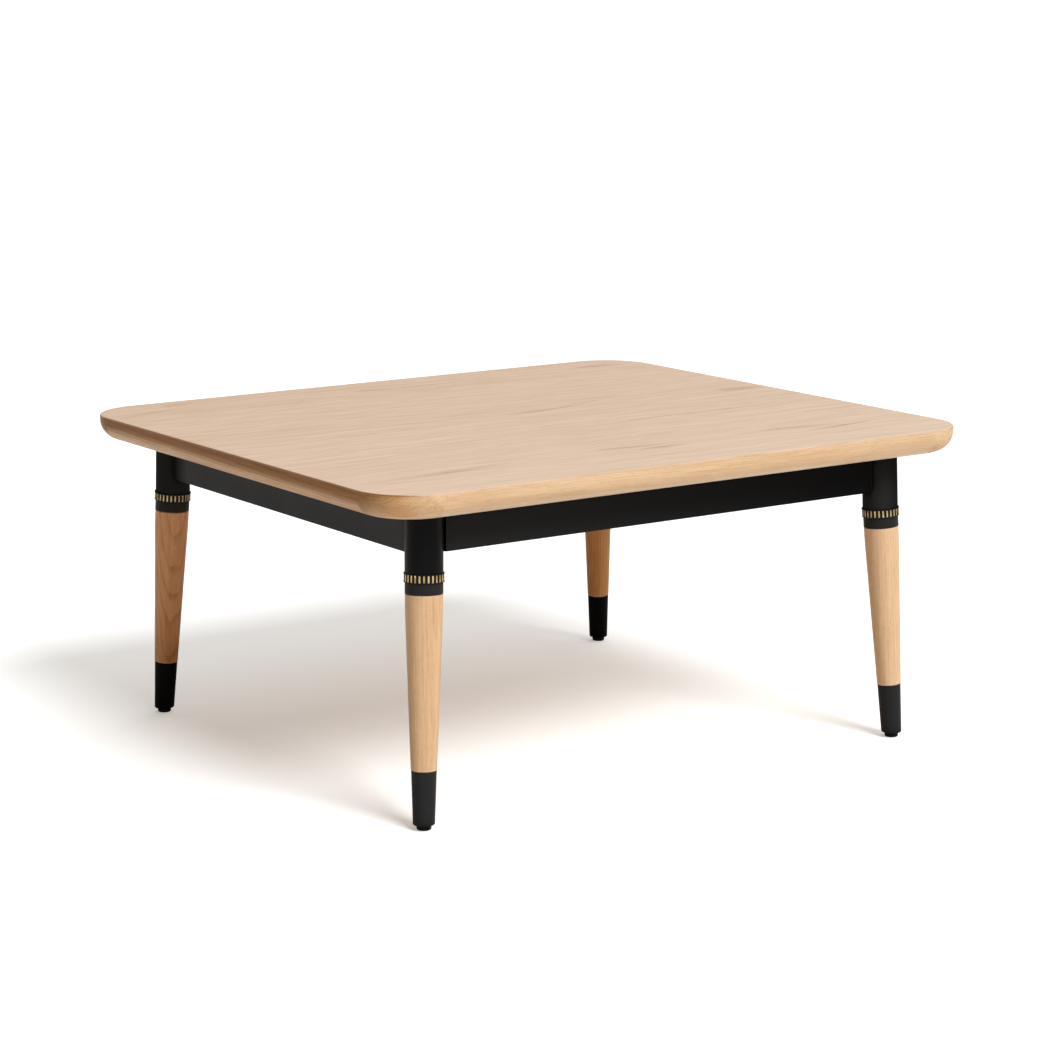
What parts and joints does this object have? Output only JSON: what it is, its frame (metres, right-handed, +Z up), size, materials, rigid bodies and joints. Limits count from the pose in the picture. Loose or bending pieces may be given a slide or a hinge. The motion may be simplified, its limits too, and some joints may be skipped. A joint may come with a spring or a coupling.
{
  "type": "low table",
  "caption": "Low table: veneered top with rounded corners and under-curved solid edge, black steel frame, splayed turned wooden legs with brass rings, black ferrules and levelling glides.",
  "frame": {"origin": "on the floor, under the middle of the top", "axes": "+X along the long side of the top, +Y towards the back, +Z up"},
  "size_m": [0.9, 0.8, 0.42],
  "materials": {
    "oak_veneer": "matt lacquered oak veneer",
    "oak_lipping": "matt lacquered solid oak",
    "oak_leg": "matt lacquered turned oak",
    "panel_core": "chipboard",
    "black_steel": "satin powder coat",
    "brass": "satin, dulled",
    "zinc_steel": "zinc plated",
    "glide_plastic": "matt moulded"
  },
  "bodies": {
    "table": {"back_veneer": "oak_veneer", "brass_ring_back_left": "brass", "brass_ring_back_right": "brass", "brass_ring_front_left": "brass", "brass_ring_front_right": "brass", "collar_back_left": "black_steel", "collar_back_right": "black_steel", "collar_front_left": "black_steel", "collar_front_right": "black_steel", "core_panel": "panel_core", "corner_plate_back_left": "black_steel", "corner_plate_back_right": "black_steel", "corner_plate_front_left": "black_steel", "corner_plate_front_right": "black_steel", "face_veneer": "oak_veneer", "ferrule_back_left": "black_steel", "ferrule_back_right": "black_steel", "ferrule_front_left": "black_steel", "ferrule_front_right": "black_steel", "foot_inserts": "zinc_steel", "leg_back_left": "oak_leg", "leg_back_right": "oak_leg", "leg_front_left": "oak_leg", "leg_front_right": "oak_leg", "leg_studs": "zinc_steel", "lipping_back": "oak_lipping", "lipping_corner_back_left": "oak_lipping", "lipping_corner_back_right": "oak_lipping", "lipping_corner_front_left": "oak_lipping", "lipping_corner_front_right": "oak_lipping", "lipping_front": "oak_lipping", "lipping_left": "oak_lipping", "lipping_right": "oak_lipping", "rail_back": "black_steel", "rail_front": "black_steel", "rail_left": "black_steel", "rail_right": "black_steel", "sleeve_back_left": "black_steel", "sleeve_back_right": "black_steel", "sleeve_front_left": "black_steel", "sleeve_front_right": "black_steel", "socket_plug_back_left": "black_steel", "socket_plug_back_right": "black_steel", "socket_plug_front_left": "black_steel", "socket_plug_front_right": "black_steel", "top_screws": "zinc_steel"},
    "glide_front_left": {"glide_front_left": "glide_plastic"},
    "glide_front_right": {"glide_front_right": "glide_plastic"},
    "glide_back_right": {"glide_back_right": "glide_plastic"},
    "glide_back_left": {"glide_back_left": "glide_plastic"}
  },
  "joints": [
    {"name": "glide_front_left_height", "type": "slide", "parent": "table", "child": "glide_front_left", "axis": [0, 0, -1], "range_m": [0, 0.008]},
    {"name": "glide_front_right_height", "type": "slide", "parent": "table", "child": "glide_front_right", "axis": [0, 0, -1], "range_m": [0, 0.008]},
    {"name": "glide_back_right_height", "type": "slide", "parent": "table", "child": "glide_back_right", "axis": [0, 0, -1], "range_m": [0, 0.008]},
    {"name": "glide_back_left_height", "type": "slide", "parent": "table", "child": "glide_back_left", "axis": [0, 0, -1], "range_m": [0, 0.008]}
  ]
}
